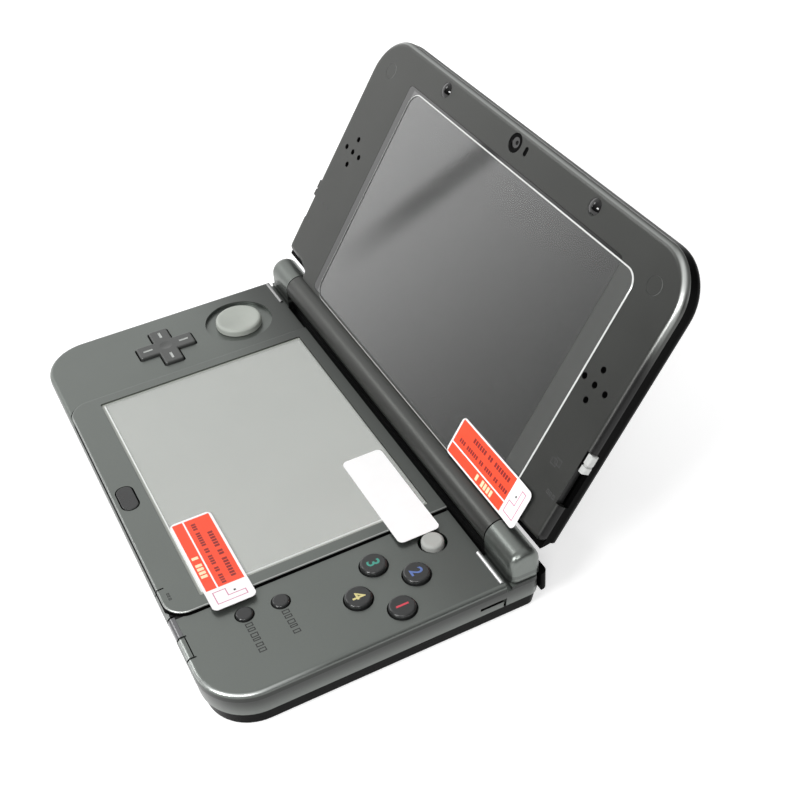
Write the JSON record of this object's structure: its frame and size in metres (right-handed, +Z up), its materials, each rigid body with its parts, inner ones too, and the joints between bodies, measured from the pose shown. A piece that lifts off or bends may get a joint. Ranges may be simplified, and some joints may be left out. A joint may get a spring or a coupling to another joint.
{
  "type": "handheld electronic game",
  "caption": "Clamshell handheld game with two screens under protective films, thumb pads, push buttons and a friction hinge, open for play.",
  "frame": {"origin": "centre of the flat underside, on the back cover that rests on the table", "axes": "+X to the player's right along the hinge, +Y away from the player, +Z up"},
  "size_m": [0.161, 0.1378, 0.0902],
  "materials": {
    "casing_grey": "satin metallic paint",
    "shell_black": "semi gloss",
    "cover_grey": "satin",
    "control_black": "gloss",
    "control_light": "matte",
    "nub_rubber": "matte",
    "rubber_dark": "matte",
    "inner_plastic": "matte",
    "steel": "brushed",
    "board_green": "solder mask",
    "battery_wrap": "matte wrap",
    "display_black": "dark panel",
    "touch_glass": "satin",
    "film": "clear hard film",
    "tab_red": "printed film",
    "card_white": "matte"
  },
  "bodies": {
    "base": {"base_top_housing": "casing_grey", "base_bottom_housing": "shell_black", "back_cover": "cover_grey", "cover_screws": "steel", "housing_screws": "steel", "memory_card": "inner_plastic", "mainboard": "board_green", "battery": "battery_wrap", "card_reader": "inner_plastic", "audio_jack": "inner_plastic", "charge_port": "steel", "infrared_window": "display_black", "lower_display": "display_black", "touch_glass": "touch_glass", "lower_film": "film", "lower_pull_tab": "tab_red", "white_card": "card_white", "slide_pad_tray": "inner_plastic", "dpad_mat": "rubber_dark", "face_button_mat": "rubber_dark", "menu_button_mat": "rubber_dark", "pointing_nub": "nub_rubber", "nub_sensor": "inner_plastic", "status_light_bar": "casing_grey", "shoulder_pins": "steel", "hinge_clutch": "steel", "hinge_tube": "steel"},
    "lid": {"lid_inner_bezel": "casing_grey", "lid_outer_shell": "shell_black", "upper_display": "display_black", "upper_glass": "display_black", "upper_film": "film", "upper_pull_tab": "tab_red", "inner_camera": "display_black", "infrared_lamp": "display_black", "speakers": "inner_plastic", "lid_bumpers": "rubber_dark", "lid_screw_covers": "casing_grey", "lid_screws": "steel", "outer_cameras": "display_black", "display_flex_cable": "board_green"},
    "slide_pad_carriage": {"slide_pad_carriage": "inner_plastic"},
    "slide_pad_cap": {"slide_pad_cap": "control_light"},
    "dpad_pivot": {"dpad_pivot": "inner_plastic"},
    "dpad": {"dpad": "control_black"},
    "home_button": {"home_button": "control_black"},
    "start_button": {"start_button": "control_black"},
    "select_button": {"select_button": "control_black"},
    "power_button": {"power_button": "casing_grey"},
    "stylus": {"stylus": "inner_plastic"},
    "depth_slider": {"depth_slider_knob": "control_light"},
    "volume_slider": {"volume_slider_knob": "casing_grey"},
    "shoulder_left": {"shoulder_left": "shell_black"},
    "shoulder_right": {"shoulder_right": "shell_black"},
    "trigger_left": {"trigger_left": "shell_black"},
    "trigger_right": {"trigger_right": "shell_black"},
    "face_button_1": {"face_button_1": "control_black"},
    "face_button_2": {"face_button_2": "control_black"},
    "face_button_3": {"face_button_3": "control_black"},
    "face_button_4": {"face_button_4": "control_black"}
  },
  "joints": [
    {"name": "lid_hinge", "type": "hinge", "parent": "base", "child": "lid", "pos_m": [0, 0.0402, 0.0171], "axis": [-1, 0, 0], "range_deg": [-123.5, 31.5]},
    {"name": "slide_pad_x", "type": "slide", "parent": "base", "child": "slide_pad_carriage", "axis": [1, 0, 0], "range_m": [-0.0024, 0.0024], "stiffness_N_per_m": 120},
    {"name": "slide_pad_y", "type": "slide", "parent": "slide_pad_carriage", "child": "slide_pad_cap", "axis": [0, 1, 0], "range_m": [-0.0024, 0.0024], "stiffness_N_per_m": 120},
    {"name": "dpad_tilt_x", "type": "hinge", "parent": "base", "child": "dpad_pivot", "pos_m": [-0.0627, -0.0083, 0.0107], "axis": [1, 0, 0], "range_deg": [-3, 3], "stiffness_Nm_per_rad": 0.25},
    {"name": "dpad_tilt_y", "type": "hinge", "parent": "dpad_pivot", "child": "dpad", "pos_m": [-0.0627, -0.0083, 0.0107], "axis": [0, 1, 0], "range_deg": [-3, 3], "stiffness_Nm_per_rad": 0.25},
    {"name": "face_button_1_press", "type": "slide", "parent": "base", "child": "face_button_1", "axis": [0, 0, -1], "range_m": [0, 0.0009], "stiffness_N_per_m": 500, "springref_m": -0.0006},
    {"name": "face_button_2_press", "type": "slide", "parent": "base", "child": "face_button_2", "axis": [0, 0, -1], "range_m": [0, 0.0009], "stiffness_N_per_m": 500, "springref_m": -0.0006},
    {"name": "face_button_3_press", "type": "slide", "parent": "base", "child": "face_button_3", "axis": [0, 0, -1], "range_m": [0, 0.0009], "stiffness_N_per_m": 500, "springref_m": -0.0006},
    {"name": "face_button_4_press", "type": "slide", "parent": "base", "child": "face_button_4", "axis": [0, 0, -1], "range_m": [0, 0.0009], "stiffness_N_per_m": 500, "springref_m": -0.0006},
    {"name": "start_press", "type": "slide", "parent": "base", "child": "start_button", "axis": [0, 0, -1], "range_m": [0, 0.0005], "stiffness_N_per_m": 700, "springref_m": -0.0004},
    {"name": "select_press", "type": "slide", "parent": "base", "child": "select_button", "axis": [0, 0, -1], "range_m": [0, 0.0005], "stiffness_N_per_m": 700, "springref_m": -0.0004},
    {"name": "home_press", "type": "slide", "parent": "base", "child": "home_button", "axis": [0, 0, -1], "range_m": [0, 0.0005], "stiffness_N_per_m": 700, "springref_m": -0.0004},
    {"name": "power_press", "type": "slide", "parent": "base", "child": "power_button", "axis": [0, 1, 0], "range_m": [0, 0.00025], "stiffness_N_per_m": 800, "springref_m": -0.0003},
    {"name": "shoulder_left_press", "type": "hinge", "parent": "base", "child": "shoulder_left", "pos_m": [-0.0538, 0.0428, 0.0084], "axis": [0, 0, 1], "range_deg": [0, 1.7], "stiffness_Nm_per_rad": 0.15, "springref_deg": -1.72},
    {"name": "trigger_left_press", "type": "hinge", "parent": "base", "child": "trigger_left", "pos_m": [-0.0408, 0.0428, 0.0084], "axis": [0, 0, 1], "range_deg": [0, 3.5], "stiffness_Nm_per_rad": 0.1, "springref_deg": -1.72},
    {"name": "shoulder_right_press", "type": "hinge", "parent": "base", "child": "shoulder_right", "pos_m": [0.0538, 0.0428, 0.0084], "axis": [0, 0, -1], "range_deg": [0, 1.7], "stiffness_Nm_per_rad": 0.15, "springref_deg": -1.72},
    {"name": "trigger_right_press", "type": "hinge", "parent": "base", "child": "trigger_right", "pos_m": [0.0408, 0.0428, 0.0084], "axis": [0, 0, -1], "range_deg": [0, 3.5], "stiffness_Nm_per_rad": 0.1, "springref_deg": -1.72},
    {"name": "stylus_pull", "type": "slide", "parent": "base", "child": "stylus", "axis": [0, -1, 0], "range_m": [0, 0.076]},
    {"name": "depth_slide", "type": "slide", "parent": "lid", "child": "depth_slider", "axis": [0, 0.5519, 0.8339], "range_m": [-0.01, 0]},
    {"name": "volume_slide", "type": "slide", "parent": "lid", "child": "volume_slider", "axis": [0, 0.5519, 0.8339], "range_m": [-0.008, 0]}
  ]
}
